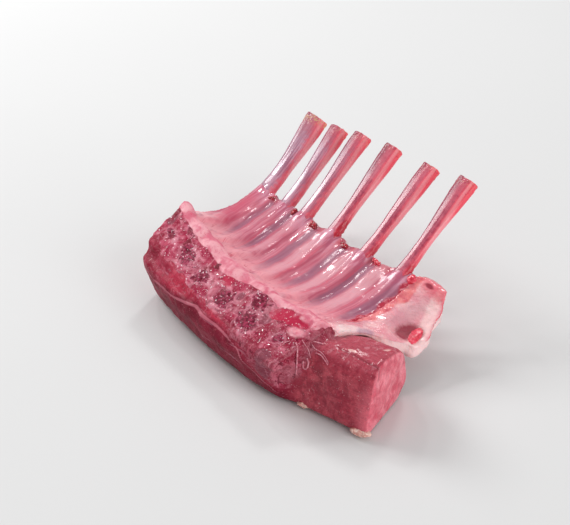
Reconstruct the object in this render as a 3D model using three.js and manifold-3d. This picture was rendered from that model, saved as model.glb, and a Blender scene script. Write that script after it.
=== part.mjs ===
// Raw rack of lamb with six cleaned rib bones. It lies on its outer side with the inside
// of the rib cage up, so the sawn backbone faces up and the eye of the loin is underneath.
//
// Millimetres, +Z up. X runs along the backbone from the shoulder end to the loin end,
// Y runs out to the rib tips, and the table is at Z = 0. The shape is worked out from a
// point on the ridge, and is moved at the end so that the origin is under its middle.
//
// Every cross-section is an upright plane through the ridge of the backbone. A point in it
// has an `out`, its distance from the ridge towards the rib tips, and a `height`.

import * as THREE from 'three';
import { mergeVertices } from 'three/addons/utils/BufferGeometryUtils.js';
import Module from 'manifold-3d';

// ---------------------------------------------------------------- driving dimensions

const GAP = 0.3;                 // clearance between neighbouring solids
const RACK_START = -114;         // shoulder end of the rack
const RACK_END = 58;             // end of the rib cage at the loin
const BONE_END = 55.5;           // end of the backbone at the loin
const SPINE_RADIUS = 405;        // bow of the backbone, seen from above
const RIDGE_LOW = 47;            // height of the ridge at its lowest
const RIDGE_LOW_AT = 17;         // and where that is
const RIDGE_RISE = 10.4;         // how much higher the ridge is at the shoulder end

// One row for each rib, shoulder end first: where it leaves the backbone, how it leans in
// degrees, how far its tip is out and up from its root, and its width along the shaft and
// at the tip. The last row is the cross-section at the end of the cage, which has no rib.
const RIBS = [
  { along: -108.4, lean: -12.4, reach: 141, rise: 27.6, shaft: 15.3, tip: 21.3 },
  { along: -81.6, lean: -10.3, reach: 141, rise: 34, shaft: 12.3, tip: 17.4 },
  { along: -62.9, lean: -6.6, reach: 140.5, rise: 40.8, shaft: 11.9, tip: 16.2 },
  { along: -32.7, lean: -4, reach: 140, rise: 47.2, shaft: 11, tip: 16.2 },
  { along: -2.6, lean: -1, reach: 140, rise: 48, shaft: 10.6, tip: 15.7 },
  { along: 33.2, lean: -2.5, reach: 141, rise: 49.3, shaft: 10.2, tip: 16.2 },
];
const END_SECTION = { along: 61.2, lean: 6, reach: 136, rise: 49.3 };

const ROOT_OUT = 5.1;            // where a rib starts, from the ridge
const ROOT_DROP = 8.5;
const SPRING_ANGLE = 30.5;       // a rib first dips at this angle, in degrees,
const TIP_ANGLE = 36;            // and rises at this angle to its tip
const ROOT_SWEEP = 67.2;         // lengths of the two handles of the rib's curve
const TIP_SWEEP = 56.5;
const TIP_SLANT = 2.6;           // how far out of square the widest rib is cut
const SHAFT_THICKNESS = 6.4;
const TIP_THICKNESS = 7.2;
const RIB_CREST = 1;             // a rib stands this proud of the meat beside it
const FLARE_START = 0.62;        // share of the rib where it starts to widen
const WAIST_AT = 0.68;           // and where it is narrowest

const FACE_WIDTH_SHOULDER = 37.4; // sawn face of the backbone at its two ends,
const FACE_WIDTH_LOIN = 42.5;
const FACE_WAIST = 8.5;          // and how much narrower it is in the middle
const FACE_DROP = 12;            // the face is this much lower along the back
const BONE_DEPTH_RIDGE = 14.5;
const BONE_DEPTH_BACK = 7.7;
const VERTEBRA_BULGE = 1.9;      // knuckle on the ridge where a rib joins it
const VERTEBRA_LENGTH = 7.6;     // half the length of a knuckle

const MEAT_EDGE = 0.575;         // share of a rib's length that the meat covers
const NOTCH_DEPTH = 0.035;       // the meat edge dips by this share between two ribs
const EDGE_THICKNESS = 10.2;
const CREASE_DEPTH = 1;          // hollow beside each rib
const CREASE_WIDTH = 5;
const STRIP_WIDTH = 4.3;         // meat left beyond the first rib
const FAT_SEAM = 2.6;

const FLAP_START = 32;           // where the cage thickens into the loose flap,
const FLAP_REACH = 12.5;         // how far it hangs past the last cut,
const FLAP_CORNER = 5;           // how far its outer corner is rounded back,
const FLAP_ROLL = 12.5;          // and how far its edge rolls down
const SHOULDER_SWELL = 0.15;     // the loin's back is this much fuller at the shoulder end

// Outlines of the loin, as [out, height] points that a smooth curve passes through. The
// first holds under the backbone, and the second where the loin lies bare at its end.
const LOIN_UNDER_BACKBONE = [
  [-28, 1.7], [-34, 15.3], [-37.4, 28], [-22, 32.3], [-3.4, 29.8], [17, 23.8],
  [37.4, 16.2], [50.2, 7.7], [40, 0.4], [22, -1.3], [-15.3, -1.3],
];
const LOIN_BARE = [
  [-24.6, 2.6], [-20.8, 18.7], [-15.3, 35.7], [-7.7, 41.2], [6, 40], [19.6, 35.7],
  [29.3, 27.2], [32.3, 14.5], [26.4, 2.1], [15.3, -1.3], [-10.2, -1.3],
];
const BARE_FROM = 37;            // the first outline turns into the second between these
const BARE_TO = 65;
const LOIN_LENGTH = 112;         // the loin is lofted this far and then cut off,
const LOIN_CUT = { x: 91.2, y: 24.8, angle: 22 }; // along an upright plane through here
const FLAP_CUT = { x: 39, y: 30, angle: 17 };     // the flap's fat starts at this plane

// ---------------------------------------------------------------- the shared frame

const { clamp, degToRad, lerp, smoothstep } = THREE.MathUtils;

const bell = (x, centre, width) => Math.exp(-(((x - centre) / width) ** 2));

const ridgeHeight = (along) =>
  RIDGE_LOW + RIDGE_RISE * ((along - RIDGE_LOW_AT) / (RACK_START - RIDGE_LOW_AT)) ** 2;

/** How much thicker the rack is at a place than where its ridge is lowest. */
const thickening = (along) => ridgeHeight(Math.min(along, RACK_END)) / RIDGE_LOW;

/** 0 where the loin lies under the backbone, and 1 where it lies bare. */
const bareness = (along) => smoothstep(along, BARE_FROM, BARE_TO);

/** Low, uneven relief with a height of about 1, the same on each run. */
function unevenness(x, y) {
  return 0.5 * Math.sin(0.25 * x + 0.9 * Math.sin(0.15 * y))
    + 0.3 * Math.sin(0.44 * y - 0.34 * x + 1.7)
    + 0.2 * Math.sin(0.84 * x + 0.62 * y + 0.4);
}

/** The value of `key` at a place between two ribs, from their rows. */
function betweenRibs(along, key) {
  const rows = [...RIBS, END_SECTION];
  let i = 0;
  while (i < rows.length - 2 && along > rows[i + 1].along) i++;
  const share = (along - rows[i].along) / (rows[i + 1].along - rows[i].along);
  return lerp(rows[i][key], rows[i + 1][key], clamp(share, -0.3, 1));
}

/** The point of the cross-section at `along` that lies `out` from the ridge. */
function place(along, out, height, lean = degToRad(betweenRibs(along, 'lean'))) {
  const ridgeY = SPINE_RADIUS - Math.sqrt(SPINE_RADIUS ** 2 - along ** 2);
  return new THREE.Vector3(along + out * Math.sin(lean), ridgeY + out * Math.cos(lean), height);
}

/** The middle line of the rib cage's wall in one cross-section: it dips and then rises. */
function ribCurve(along, { reach, rise }) {
  const root = new THREE.Vector2(ROOT_OUT, ridgeHeight(along) - ROOT_DROP * thickening(along));
  const tip = new THREE.Vector2(root.x + reach, root.y + rise);
  const handle = (length, angle) => new THREE.Vector2(
    length * Math.cos(degToRad(angle)),
    length * Math.sin(degToRad(angle)),
  );
  const leaving = root.clone().add(handle(ROOT_SWEEP, -SPRING_ANGLE));
  const arriving = tip.clone().sub(handle(TIP_SWEEP, TIP_ANGLE));
  return new THREE.CubicBezierCurve(root, leaving, arriving, tip);
}

/** The direction square to a curve's tangent, on its upper side. */
const above = (tangent) => new THREE.Vector2(-tangent.y, tangent.x);

// ---------------------------------------------------------------- solids from rings

const wasm = await Module();
wasm.setup();

/** A three.js geometry as a manifold, for cuts and joins. */
function solid(geometry) {
  const shape = geometry.clone();
  shape.deleteAttribute('normal');
  shape.deleteAttribute('uv');
  const merged = mergeVertices(shape, 1e-4);
  return new wasm.Manifold(new wasm.Mesh({
    numProp: 3,
    vertProperties: new Float32Array(merged.attributes.position.array),
    triVerts: new Uint32Array(merged.index.array),
  }));
}

/** A closed solid over a row of rings of points. The outlines shut its two ends. */
function skin(rings, firstOutline, lastOutline) {
  const size = rings[0].length;
  const faces = [];
  for (let k = 0; k + 1 < rings.length; k++) {
    for (let j = 0; j < size; j++) {
      const a = k * size + j;
      const b = k * size + ((j + 1) % size);
      faces.push([a, b, b + size], [a, b + size, a + size]);
    }
  }
  const last = (rings.length - 1) * size;
  for (const [a, b, c] of THREE.ShapeUtils.triangulateShape(firstOutline, [])) {
    faces.push([c, b, a]);
  }
  for (const [a, b, c] of THREE.ShapeUtils.triangulateShape(lastOutline, [])) {
    faces.push([last + a, last + b, last + c]);
  }
  const geometry = new THREE.BufferGeometry().setFromPoints(rings.flat());
  geometry.setIndex(faces.flat());
  return solid(geometry);
}

/** The outline moved outwards by `amount`. Outlines run anticlockwise. */
function grown(outline, amount) {
  return outline.map((point, i) => {
    const before = outline[(i + outline.length - 1) % outline.length];
    const after = outline[(i + 1) % outline.length];
    const edge = after.clone().sub(before).normalize();
    return new THREE.Vector2(point.x + edge.y * amount, point.y - edge.x * amount);
  });
}

/** A solid from the outlines that `section` gives between two places along the backbone. */
function alongBackbone(start, end, steps, section, { grow = 0, shift = () => 0 } = {}) {
  const rings = [];
  const outlines = [];
  for (let k = 0; k <= steps; k++) {
    const along = lerp(start - grow, end + grow, k / steps);
    let outline = section(along);
    if (THREE.ShapeUtils.isClockWise(outline)) outline.reverse();
    if (grow) outline = grown(outline, grow);
    outlines.push(outline);
    rings.push(outline.map(({ x, y }) => {
      const point = place(along, x, y);
      point.x += shift(along, x);
      return point;
    }));
  }
  return skin(rings, outlines[0], outlines[steps]);
}

/** All that lies on the far side of an upright plane, and `grow` before it. */
function beyond({ x, y, angle }, grow = 0) {
  const size = 300;
  const geometry = new THREE.BoxGeometry(size, size, size);
  geometry.translate(size / 2 - grow, 0, 0);
  geometry.rotateZ(degToRad(angle));
  geometry.translate(x, y, 0);
  return solid(geometry);
}

/** The main body of a solid, without the loose scraps that a cut leaves. */
function largest(shape) {
  return shape.decompose().reduce((best, piece) => (piece.volume() > best.volume() ? piece : best));
}

// ---------------------------------------------------------------- backbone

/** The sawn half of the backbone: a slab with a knuckled ridge where the ribs join it. */
function backboneSection(along) {
  const top = ridgeHeight(along);
  const back = top - FACE_DROP;
  const nearestRib = Math.min(...RIBS.map((rib) => Math.abs(along - rib.along)));
  const bulge = VERTEBRA_BULGE * bell(nearestRib, 0, VERTEBRA_LENGTH);
  const share = (along - RACK_START) / (RACK_END - RACK_START);
  const width = lerp(FACE_WIDTH_SHOULDER, FACE_WIDTH_LOIN, share)
    - FACE_WAIST * Math.sin(Math.PI * share) + 1.3 * unevenness(along, 34);
  const points = [];
  for (let i = 0; i <= 8; i++) {
    const across = i / 8;
    const relief = 0.7 * unevenness(along, across * 50) * Math.sin(Math.PI * across);
    points.push([-width * across, top + bulge * (1 - across) - FACE_DROP * across + relief]);
  }
  points.push(
    [-width - 0.7, back - 2.5],
    [-width + 0.9, back - BONE_DEPTH_BACK],
    [-25, back - BONE_DEPTH_BACK + 0.9],
    [-13, top - BONE_DEPTH_RIDGE - 0.9],
    [0, top - BONE_DEPTH_RIDGE],
    [ROOT_OUT - 0.4 + bulge, top - 10.2],
    [ROOT_OUT + bulge, top - 5.5],
    [ROOT_OUT - 1.9 + bulge, top - 1.7 + bulge / 2],
  );
  return points.map(([out, height]) => new THREE.Vector2(out, height));
}

const backbone = (grow = 0) => alongBackbone(RACK_START, BONE_END, 38, backboneSection, { grow });

// ---------------------------------------------------------------- ribs

/** One rib from the backbone to its sawn, flared tip, with a rounded oblong section. */
function ribBone({ along, lean, reach, rise, shaft, tip }, grow = 0) {
  const curve = ribCurve(along, { reach, rise });
  const leaning = degToRad(lean);
  const sideways = new THREE.Vector3(-Math.cos(leaning), Math.sin(leaning), 0);
  const squared = (value) => Math.sign(value) * Math.abs(value) ** 0.75;
  const rings = [];
  const outlines = [];
  const steps = 14;
  const sides = 12;
  for (let k = 0; k <= steps; k++) {
    const share = lerp(-0.03, 1 + grow / reach, k / steps);
    const onCurve = clamp(share, 0, 1);
    const flare = smoothstep(share, FLARE_START, 1) ** 1.6;
    const waist = 1 - 0.1 * bell(share, WAIST_AT, 0.12);
    const halfWidth = (lerp(shaft, tip, flare) * waist) / 2 + grow;
    const halfDepth = lerp(SHAFT_THICKNESS, TIP_THICKNESS, flare) / 2 + grow;
    const slant = TIP_SLANT * (tip / RIBS[0].tip) ** 4 * smoothstep(share, 0.85, 1);
    const tangent = curve.getTangent(onCurve);
    const centre = curve.getPoint(onCurve).addScaledVector(tangent, (share - onCurve) * reach);
    const outline = [];
    for (let j = 0; j < sides; j++) {
      const angle = (j / sides) * 2 * Math.PI;
      outline.push(new THREE.Vector2(
        halfWidth * squared(Math.cos(angle)),
        halfDepth * squared(Math.sin(angle)),
      ));
    }
    outlines.push(outline);
    rings.push(outline.map(({ x, y }) => {
      const point = centre.clone().addScaledVector(above(tangent), y);
      point.addScaledVector(tangent, (slant * x) / halfWidth);
      return place(along, point.x, point.y, leaning).addScaledVector(sideways, x);
    }));
  }
  return skin(rings, outlines[0], outlines[steps]);
}

// ---------------------------------------------------------------- loin

/** The eye of the loin: wide under the backbone, narrower and taller where it lies bare. */
function loinSection(along) {
  const bare = bareness(along);
  const swell = 1 + SHOULDER_SWELL * smoothstep(-along, 42, -RACK_START);
  const corners = LOIN_UNDER_BACKBONE.map(([out, height], i) => new THREE.Vector3(
    lerp(out < 0 ? out * swell : out, LOIN_BARE[i][0], bare),
    lerp(height, LOIN_BARE[i][1], bare) * thickening(along),
    0,
  ));
  const curve = new THREE.CatmullRomCurve3(corners, true, 'centripetal');
  const sides = 26;
  return curve.getSpacedPoints(sides).slice(0, sides).map(({ x, y }) => {
    const relief = y > 1 ? 0.6 * unevenness(along, x + 2 * y) : 0;
    return new THREE.Vector2(x, y + relief);
  });
}

const loin = (grow = 0) => alongBackbone(RACK_START, LOIN_LENGTH, 30, loinSection, { grow });

// ---------------------------------------------------------------- wall of the rib cage

/** How far along the ribs the meat reaches: it clings to each rib and dips between them. */
function meatEdge(along) {
  const onRib = Math.max(...RIBS.map((rib) => bell(along, rib.along, rib.shaft * 0.55)));
  const onFlap = smoothstep(along, FLAP_START + 4, FLAP_START + 14);
  return MEAT_EDGE - NOTCH_DEPTH * (1 - onRib) * (1 - onFlap);
}

/** The wall of the cage, from under the backbone to its thick edge on the ribs. */
function cageSection(along) {
  const curve = ribCurve(along, {
    reach: betweenRibs(along, 'reach'),
    rise: betweenRibs(along, 'rise'),
  });
  const edge = meatEdge(along);
  const filling = 8.5 * smoothstep(along, FLAP_START, RACK_END - 2);
  const rolling = FLAP_ROLL * smoothstep(along, FLAP_START + 7, RACK_END + 1.5);
  const crease = CREASE_DEPTH * RIBS.reduce(
    (sum, rib) => sum + bell(along, rib.along + rib.shaft * 0.85, CREASE_WIDTH),
    0,
  );
  const points = [new THREE.Vector2(-3.4, curve.v0.y)];
  const steps = 13;
  for (let k = 0; k <= steps; k++) {
    const share = (k / steps) * edge;
    const point = curve.getPoint(share);
    const lift = SHAFT_THICKNESS / 2 - RIB_CREST
      + filling * bell(point.x, 29, 22)
      - rolling * bell(point.x, 61, 35)
      - crease * smoothstep(k, 0, 4)
      - 1.3 * smoothstep(k, steps - 1.5, steps)
      + 0.4 * unevenness(along, point.x);
    points.push(point.addScaledVector(above(curve.getTangent(share)), lift));
  }
  const rim = points[points.length - 1];
  const outward = curve.getTangent(edge);
  const down = above(outward).negate();
  const rounded = (deep, beyondRim) =>
    rim.clone().addScaledVector(down, deep).addScaledVector(outward, beyondRim);
  const bottom = rounded(EDGE_THICKNESS, -3.4);
  const thick = thickening(along);
  const bare = bareness(along);
  const belly = new THREE.CubicBezierCurve(
    bottom,
    bottom.clone().add(new THREE.Vector2(-13.5, -11 * thick)),
    new THREE.Vector2(61, lerp(6.8, 12.8, bare) * thick),
    new THREE.Vector2(39, lerp(3.4, 18.7, bare) * thick),
  );
  points.push(rounded(3.4, 1.7), rounded(EDGE_THICKNESS - 2.6, 0.9), ...belly.getPoints(6));
  points.push(new THREE.Vector2(17, lerp(10.2, 25.5, bare) * thick));
  points.push(new THREE.Vector2(0, lerp(20.4, 30.6, bare) * thick));
  return points;
}

/** The loose flap is the wall drawn out past the last cut, with its corner rounded back. */
const flapShift = (along, out) => smoothstep(along, 29, RACK_END)
  * (FLAP_REACH * bell(out, 60, 24) - FLAP_CORNER * smoothstep(out, 70, 95));

/** At the shoulder end a strip of meat stays on beyond the first rib. */
const stripShift = (along, out) =>
  -STRIP_WIDTH * smoothstep(-along, 95, -RACK_START) * bell(out, 53, 39);

const cage = alongBackbone(RACK_START, RACK_END, 50, cageSection, {
  shift: (along, out) => flapShift(along, out) + stripShift(along, out),
});

// ---------------------------------------------------------------- fitting the pieces

const tableSize = 600;
const aboveTable = solid(
  new THREE.BoxGeometry(tableSize, tableSize, tableSize).translate(0, 0, tableSize / 2),
);
const backboneRoom = backbone(GAP);
const boneRoom = RIBS.reduce((room, rib) => room.add(ribBone(rib, GAP)), backboneRoom);

const wall = cage.subtract(loin(GAP)).subtract(boneRoom).intersect(aboveTable);
const wallBesideFlap = wall.subtract(beyond(FLAP_CUT, GAP));

const loinEye = loin().subtract(boneRoom).subtract(beyond(LOIN_CUT)).intersect(aboveTable);
const fatSeam = largest(wallBesideFlap.intersect(loin(GAP + FAT_SEAM)));
const ribMeat = largest(wallBesideFlap.subtract(loin(2 * GAP + FAT_SEAM)));
const fatFlap = largest(wall.intersect(beyond(FLAP_CUT)));

// ---------------------------------------------------------------- the model

const FINISHES = {
  bone: { color: 0xc58a97, roughness: 0.35 },
  backbone: { color: 0xb4566a, roughness: 0.5 },
  lean: { color: 0x8e2e3c, roughness: 0.45 },
  ribMeat: { color: 0xc0758a, roughness: 0.35 },
  fat: { color: 0xe3b0b0, roughness: 0.3 },
};

const group = new THREE.Group();
group.name = 'rack_of_lamb';

/** Adds a solid to the model as one named mesh. */
function add(name, shape, finish) {
  const { vertProperties, triVerts } = shape.getMesh();
  const geometry = new THREE.BufferGeometry();
  geometry.setAttribute('position', new THREE.BufferAttribute(vertProperties, 3));
  geometry.setIndex(new THREE.BufferAttribute(triVerts, 1));
  geometry.computeVertexNormals();
  const material = new THREE.MeshStandardMaterial({ metalness: 0, ...finish });
  const mesh = new THREE.Mesh(geometry, material);
  mesh.name = name;
  group.add(mesh);
}

RIBS.forEach((rib, i) => add(`rib_${i + 1}`, ribBone(rib).subtract(backboneRoom), FINISHES.bone));
add('backbone', backbone(), FINISHES.backbone);
add('loin_eye', loinEye, FINISHES.lean);
add('rib_meat', ribMeat, FINISHES.ribMeat);
add('fat_seam', fatSeam, FINISHES.fat);
add('fat_flap', fatFlap, FINISHES.fat);

// The origin is on the table, under the middle of the rack.
const middle = new THREE.Box3().setFromObject(group).getCenter(new THREE.Vector3());
for (const { geometry } of group.children) geometry.translate(-middle.x, -middle.y, 0);

export default group;
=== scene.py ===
# %% [markdown]
# # A raw rack of lamb
#
# This lesson dresses a rack of lamb: cleaned rib bones, a wall of meat under a clear skin,
# a sawn backbone, a block of loin and a loose flap of fat. Raw meat has no straight edges
# and no flat colour, so most steps do two things. They give the simple solid the bumps,
# creases and ragged edges of the real piece, and they mark where each tissue lies, so that
# the finish can colour it.
#
# The simple solids are loaded first. They set the size and place of everything.

# %% Load the simple solids
import itertools
import math

import bpy
import numpy as np
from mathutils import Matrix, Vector
from mathutils.bvhtree import BVHTree


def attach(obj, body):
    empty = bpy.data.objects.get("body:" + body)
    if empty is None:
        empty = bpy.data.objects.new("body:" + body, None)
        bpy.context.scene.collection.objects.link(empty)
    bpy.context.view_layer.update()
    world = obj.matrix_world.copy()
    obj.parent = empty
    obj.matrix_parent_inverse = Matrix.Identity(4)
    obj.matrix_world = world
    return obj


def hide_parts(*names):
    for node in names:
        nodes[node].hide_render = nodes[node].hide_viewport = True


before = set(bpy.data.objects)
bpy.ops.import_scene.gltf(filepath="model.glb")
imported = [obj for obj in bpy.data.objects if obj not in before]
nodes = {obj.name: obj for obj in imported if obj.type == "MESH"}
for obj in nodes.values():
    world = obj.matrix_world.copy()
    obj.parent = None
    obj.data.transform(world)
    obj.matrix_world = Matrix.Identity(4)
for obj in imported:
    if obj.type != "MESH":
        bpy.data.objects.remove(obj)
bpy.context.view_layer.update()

print("solids:", sorted(nodes))

# %% [markdown]
# ## Finding a place on the rack
#
# The backbone is bowed and the ribs fan out from it. It is easier to say "40 mm along the
# backbone and 20 mm out towards the rib tips" than to give x and y. The ribs' places and
# leans are the same as in the solids, in millimetres and degrees.

# %% Places along the backbone and out from its ridge
MM = 0.001
SPINE_RADIUS = 405
RIDGE_MIDDLE = (22.7, -60.5)
RIB_ALONG = (-108.4, -81.6, -62.9, -32.7, -2.6, 33.2)
RIB_LEAN = (-12.4, -10.3, -6.6, -4.0, -1.0, -2.5)
RIB_WIDTH = (15.3, 12.3, 11.9, 11.0, 10.6, 10.2)
END_ALONG, END_LEAN = 61.2, 6.0


def lean_at(along):
    """The lean of the cross-section at a place along the backbone, in radians."""
    return np.radians(np.interp(along, RIB_ALONG + (END_ALONG,), RIB_LEAN + (END_LEAN,)))


def ridge_y(along):
    """How far the bowed ridge has curved away from a straight line."""
    return SPINE_RADIUS - np.sqrt(SPINE_RADIUS**2 - np.clip(along, -200, 200) ** 2)


def along_and_out(points):
    """Where points lie along the backbone, and how far out from its ridge, in mm."""
    x = points[:, 0] - RIDGE_MIDDLE[0]
    y = points[:, 1] - RIDGE_MIDDLE[1]
    along = x.copy()
    for _ in range(14):
        lean = lean_at(along)
        out = (y - ridge_y(along)) / np.cos(lean)
        along = x - out * np.sin(lean)
    return along, out


def place(along, out, height=0.0):
    """The point at a place along the backbone and out from its ridge, in mm."""
    lean = float(lean_at(along))
    return Vector((
        RIDGE_MIDDLE[0] + along + out * math.sin(lean),
        RIDGE_MIDDLE[1] + float(ridge_y(along)) + out * math.cos(lean),
        height,
    ))


print("first rib starts at", tuple(round(v, 1) for v in place(RIB_ALONG[0], 0)))

# %% [markdown]
# ## Soft relief
#
# Everything organic needs unevenness at several sizes. `soft_noise` fills a block of space
# with random values and blends smoothly between them. The seed is fixed, so the rack is the
# same on each run. `ramp` goes smoothly from 0 to 1, `bump_at` is a soft ridge around one
# value, and `spot` is a soft round patch.

# %% Helpers for relief
LATTICE = 32  # random values along each side of the block, which repeats


def soft_noise(points, size, seed):
    """Smooth random values from -1 to 1, with bumps of about this size."""
    lattice = np.random.default_rng(seed).uniform(-1, 1, (LATTICE,) * 3)
    cell = points / np.asarray(size, float)
    low = np.floor(cell).astype(int)
    share = cell - low
    share = share * share * (3 - 2 * share)
    total = np.zeros(len(points))
    for corner in itertools.product((0, 1), repeat=3):
        step = np.array(corner)
        weight = np.prod(np.where(step == 1, share, 1 - share), axis=1)
        total += weight * lattice[tuple(((low + step) % LATTICE).T)]
    return total


def rough_noise(points, size, seed):
    """Three layers of soft noise, each half the size and half the strength."""
    total = sum(
        soft_noise(points, np.asarray(size, float) / 2**k, seed + k) / 2**k for k in range(3)
    )
    return total / 1.4


def ramp(values, start, end):
    """0 before start, 1 after end, and a smooth climb between."""
    share = np.clip((values - start) / (end - start), 0, 1)
    return share * share * (3 - 2 * share)


def bump_at(values, centre, width):
    """A soft bump of height 1."""
    return np.exp(-(((values - centre) / width) ** 2))


def spot(along, out, centre, radii):
    """A soft round patch on the surface: 1 at its centre and 0 well outside."""
    return np.exp(-(((along - centre[0]) / radii[0]) ** 2 + ((out - centre[1]) / radii[1]) ** 2))


print("noise at three places:", soft_noise(np.eye(3) * 3, 5, 1).round(2))

# %% [markdown]
# ## Turning a solid into flesh
#
# A copy of a solid is welded, and a voxel remesh gives it an even, dense mesh whatever its
# faces were. A little smoothing rounds the edges as a knife leaves them in soft meat. Each
# copy is pushed out by a hair, so neighbouring tissues touch as grown-together ones do.

# %% Remeshed copies


def use_only(piece):
    """Selects one object and makes it the active one."""
    bpy.ops.object.select_all(action="DESELECT")
    piece.select_set(True)
    bpy.context.view_layer.objects.active = piece


def apply_modifier(piece, kind, **settings):
    """Adds a modifier with these settings and applies it."""
    use_only(piece)
    modifier = piece.modifiers.new(kind.lower(), kind)
    for key, value in settings.items():
        setattr(modifier, key, value)
    bpy.ops.object.modifier_apply(modifier=modifier.name)


def welded_copy(name, node):
    """A copy of a solid's mesh, with its loose triangles joined."""
    piece = bpy.data.objects.new(name, nodes[node].data.copy())
    bpy.context.scene.collection.objects.link(piece)
    piece.data.materials.clear()
    use_only(piece)
    bpy.ops.object.mode_set(mode="EDIT")
    bpy.ops.mesh.select_all(action="SELECT")
    bpy.ops.mesh.remove_doubles(threshold=0.00002)
    bpy.ops.object.mode_set(mode="OBJECT")
    return piece


def remesh(piece, voxel, rounds):
    """An even mesh with faces of this size in mm, and its edges softened."""
    apply_modifier(piece, "REMESH", mode="VOXEL", voxel_size=voxel * MM, use_smooth_shade=True)
    apply_modifier(piece, "SMOOTH", factor=0.5, iterations=rounds)


print("the first rib's solid has", len(nodes["rib_1"].data.polygons), "faces")

# %% [markdown]
# The relief is added as a sculptor's brush would add it: each vertex moves along the way
# that it faces. All vertices are read and written together, as one array in millimetres,
# because moving them one by one in Python would be slow.

# %% Moving the vertices


def points_of(piece):
    """All vertices in mm."""
    flat = np.empty(len(piece.data.vertices) * 3, np.float32)
    piece.data.vertices.foreach_get("co", flat)
    return flat.reshape(-1, 3).astype(float) / MM


def normals_of(piece):
    """The direction that each vertex faces."""
    flat = np.empty(len(piece.data.vertices) * 3, np.float32)
    piece.data.vertices.foreach_get("normal", flat)
    return flat.reshape(-1, 3).astype(float)


def move_to(piece, points):
    """Puts the vertices at these places, in mm."""
    piece.data.vertices.foreach_set("co", (points * MM).astype(np.float32).ravel())
    piece.data.update()


def push(piece, distance):
    """Moves each vertex along its normal, in mm."""
    move_to(piece, points_of(piece) + normals_of(piece) * np.reshape(distance, (-1, 1)))


print("the backbone's solid reaches up to", points_of(nodes["backbone"])[:, 2].max().round(1), "mm")

# %% [markdown]
# The finish has to know where each tissue lies. A mask could be painted by hand, but it is
# simpler to work it out from the vertices' places and to store it on them. `mark_flow`
# stores a second set of coordinates, which bend with the piece, for streaks to follow.

# %% Marking tissues


def mark(piece, name, values):
    """Stores one value on each vertex, for the finish to read."""
    layer = piece.data.attributes.new(name, "FLOAT", "POINT")
    layer.data.foreach_set("value", np.clip(values, 0, 1).astype(np.float32))


def mark_flow(piece, vectors):
    """Stores a direction-following position on each vertex, in mm."""
    layer = piece.data.attributes.new("flow", "FLOAT_VECTOR", "POINT")
    layer.data.foreach_set("vector", np.asarray(vectors, np.float32).ravel())


def finished(piece, stands_for, material):
    """Joins a piece to the rack: its finish, the solids that it stands for, and its slot."""
    piece.data.materials.clear()
    piece.data.materials.append(material)
    for polygon in piece.data.polygons:
        polygon.use_smooth = True
    if stands_for:
        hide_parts(*stands_for)
    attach(piece, "root")
    print(piece.name, len(piece.data.polygons), "faces")


# %% [markdown]
# ## Writing a finish as a formula
#
# A finish is a network of nodes, and most of it is arithmetic. The `Value` class stands for
# a node's output and overloads the operators, so that `1 - mask * 0.5` adds its Math nodes
# by itself.

# %% Colours and values


def srgb(red, green, blue):
    """A colour as seen on a screen, 0 to 255, as the renderer wants it."""
    def linear(part):
        part /= 255
        return part / 12.92 if part <= 0.04045 else ((part + 0.055) / 1.055) ** 2.4
    return (linear(red), linear(green), linear(blue), 1.0)


class Value:
    """A node's output that can be used in arithmetic."""

    def __init__(self, finish, socket):
        self.finish = finish
        self.socket = socket

    def __add__(self, other):
        return self.finish.math("ADD", self, other)

    def __sub__(self, other):
        return self.finish.math("SUBTRACT", self, other)

    def __rsub__(self, other):
        return self.finish.math("SUBTRACT", other, self)

    def __mul__(self, other):
        return self.finish.math("MULTIPLY", self, other)

    __radd__ = __add__
    __rmul__ = __mul__

    def between(self, start, end):
        """0 up to start, 1 from end, and smooth between."""
        return self.finish.node(
            "MapRange",
            {"interpolation_type": "SMOOTHSTEP"},
            {"Value": self, "From Min": start, "From Max": end},
        )


print("a fat pink, as the renderer wants it:", tuple(round(part, 3) for part in srgb(250, 198, 200)))

# %% [markdown]
# `Finish` holds one material. All nodes but the arithmetic come from its `node` method. A
# colour is built up as a painter would, from a ground colour and thin layers over it, and
# `paint` lays one such layer. No tissue ends in a clean line, so `ragged` breaks up the
# edge of a marked patch with noise before it is painted.

# %% One material at a time
NOISE_DETAIL = 3.0  # layers of ever finer noise


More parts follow.
